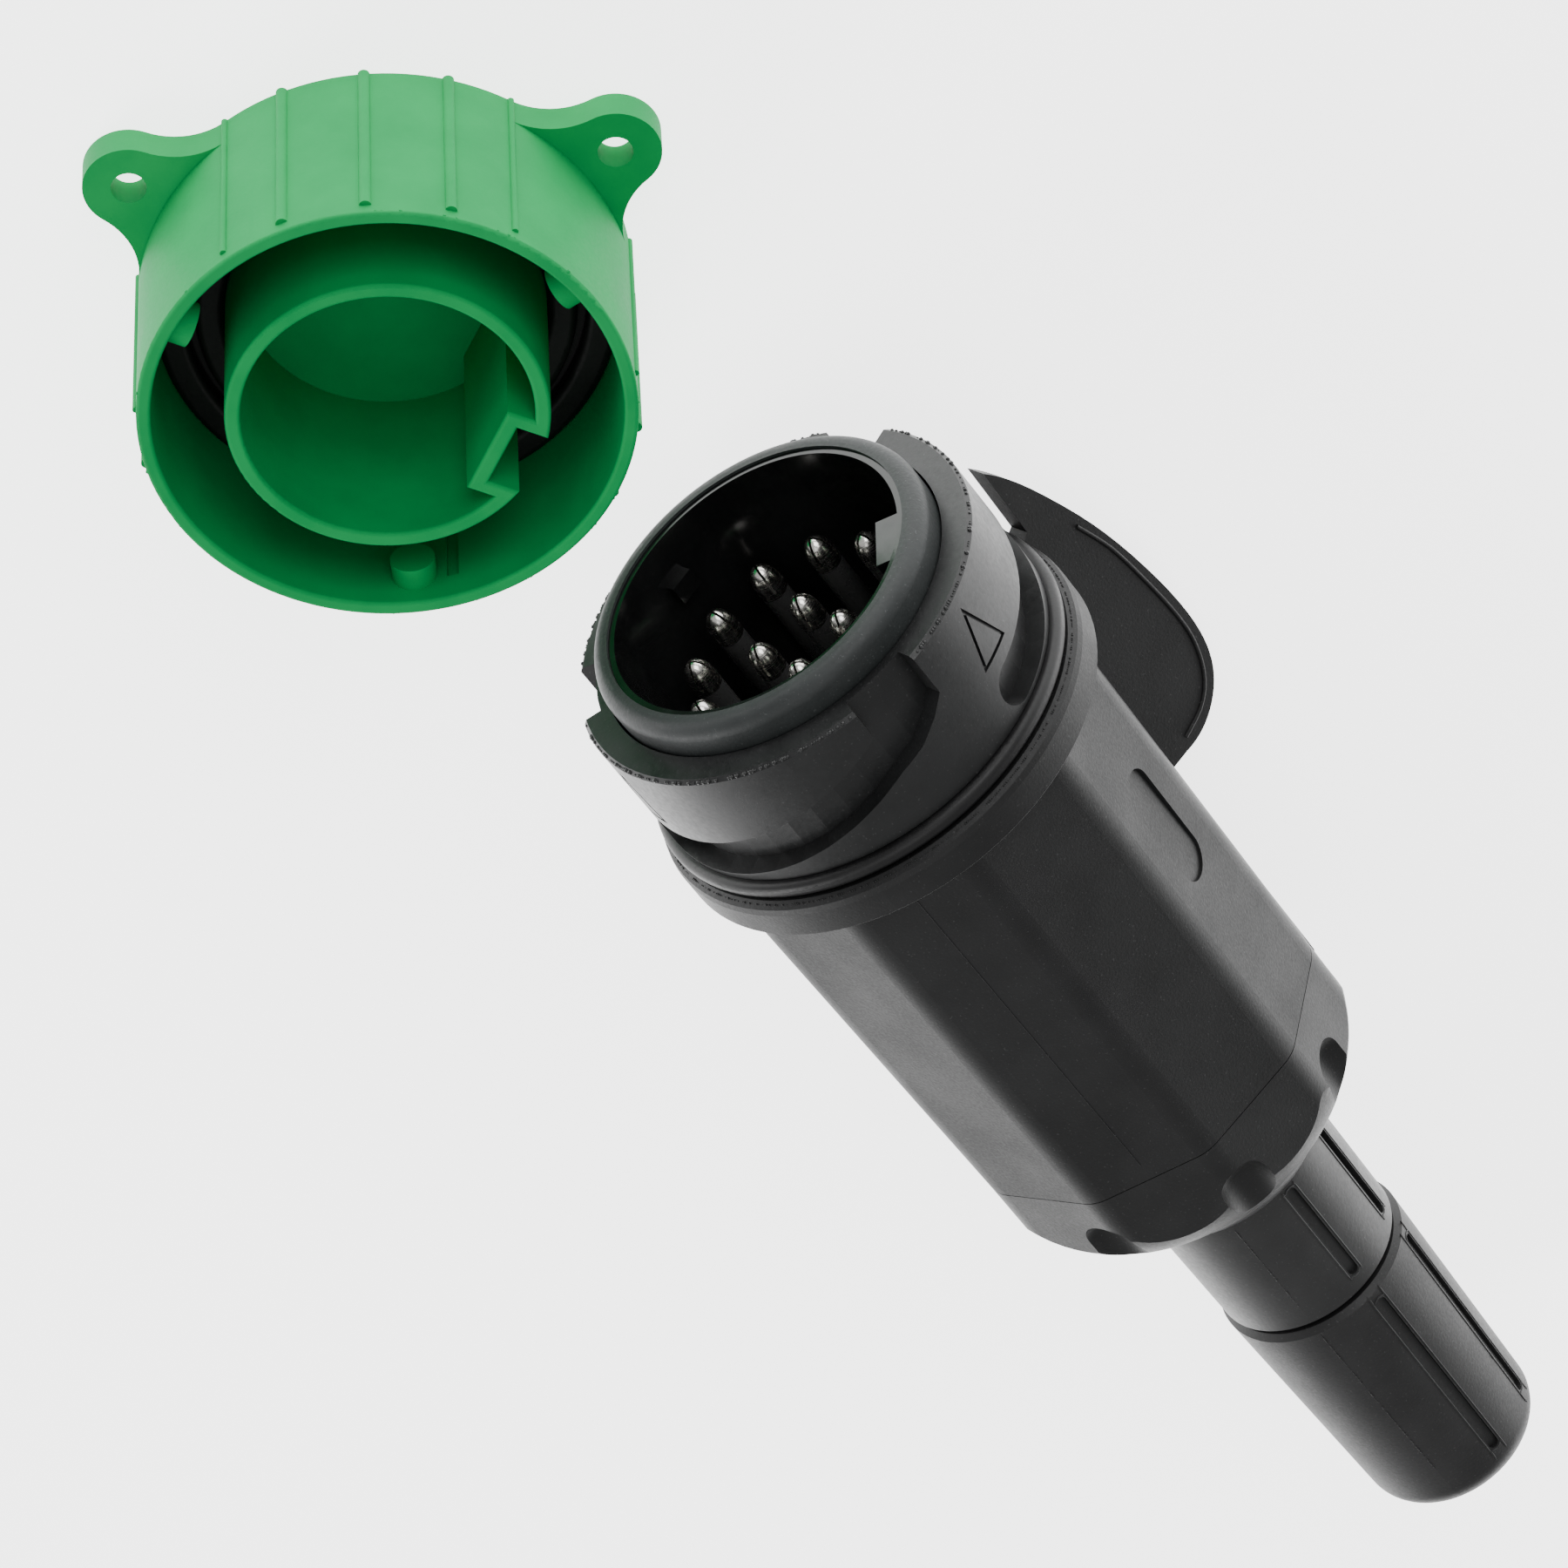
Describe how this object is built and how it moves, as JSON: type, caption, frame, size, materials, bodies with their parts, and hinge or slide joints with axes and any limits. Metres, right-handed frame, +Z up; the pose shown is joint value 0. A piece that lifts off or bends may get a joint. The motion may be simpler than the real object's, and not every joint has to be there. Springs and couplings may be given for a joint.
{
  "type": "trailer wiring connector",
  "caption": "Round trailer lighting plug with bayonet ring, wing, cable gland and boot, lying beside the open parking holder it locks into.",
  "frame": {"origin": "centre of the bounding box on the floor plane that the holder and the plug stand on", "axes": "+X the way the plug's nose points, along the floor; +Y to the nose's left; +Z up"},
  "size_m": [0.248, 0.0836, 0.0565],
  "materials": {
    "black_gloss_plastic": "gloss",
    "soft_rim_rubber": "matte",
    "black_rubber": "matte",
    "carrier_plastic": "satin",
    "nickel_contact": "bright",
    "nickel_screws": "satin",
    "black_satin_plastic": "satin",
    "gasket_rubber": "matte",
    "spring_steel": "satin",
    "black_grained_plastic": "satin grain",
    "black_cap_plastic": "satin grain",
    "seal_rubber": "matte",
    "thrust_plastic": "satin",
    "black_nut_plastic": "satin",
    "boot_rubber": "matte",
    "green_plastic": "satin",
    "holder_rubber": "matte"
  },
  "bodies": {
    "housing": {"locking_ring": "black_satin_plastic", "collar_gasket": "gasket_rubber", "clip_ring": "spring_steel", "grip_housing": "black_grained_plastic", "rear_cap": "black_cap_plastic", "cable_seal": "seal_rubber"},
    "insert": {"front_sleeve": "black_gloss_plastic", "rim_seal": "soft_rim_rubber", "sleeve_o_ring": "black_rubber", "contact_carrier": "carrier_plastic", "contact_sleeves": "carrier_plastic", "contact_pin_01": "nickel_contact", "contact_pin_02": "nickel_contact", "contact_pin_03": "nickel_contact", "contact_pin_04": "nickel_contact", "contact_pin_05": "nickel_contact", "contact_pin_06": "nickel_contact", "contact_pin_07": "nickel_contact", "contact_pin_08": "nickel_contact", "contact_pin_09": "nickel_contact", "contact_pin_10": "nickel_contact", "contact_pin_11": "nickel_contact", "contact_pin_12": "nickel_contact", "contact_pin_13": "nickel_contact", "terminal_screws": "nickel_screws"},
    "thrust": {"thrust_ring": "thrust_plastic"},
    "nut": {"gland_nut": "black_nut_plastic", "cable_boot": "boot_rubber"},
    "holder": {"holder_body": "green_plastic", "holder_seal": "holder_rubber"}
  },
  "joints": [
    {"name": "insert_turn", "type": "hinge", "parent": "housing", "child": "insert", "pos_m": [0.05014, -0.01091, 0.03001], "axis": [-0.9981, 0, -0.0621], "range_deg": [0, 90]},
    {"name": "thrust_slide", "type": "slide", "parent": "housing", "child": "thrust", "axis": [-0.9981, 0, -0.0621], "range_m": [0, 0.004]},
    {"name": "nut_turn", "type": "hinge", "parent": "thrust", "child": "nut", "pos_m": [-0.08281, -0.01091, 0.02174], "axis": [-0.9981, 0, -0.0621], "range_deg": [0, 720]},
    {"name": "holder_lift", "type": "slide", "parent": "housing", "child": "holder", "axis": [0, 0, 1], "range_m": [0, 0.12]}
  ],
  "couplings": [
    {"joint": "nut_turn", "follows": "thrust_slide", "rad_per_m": 3141.6}
  ]
}
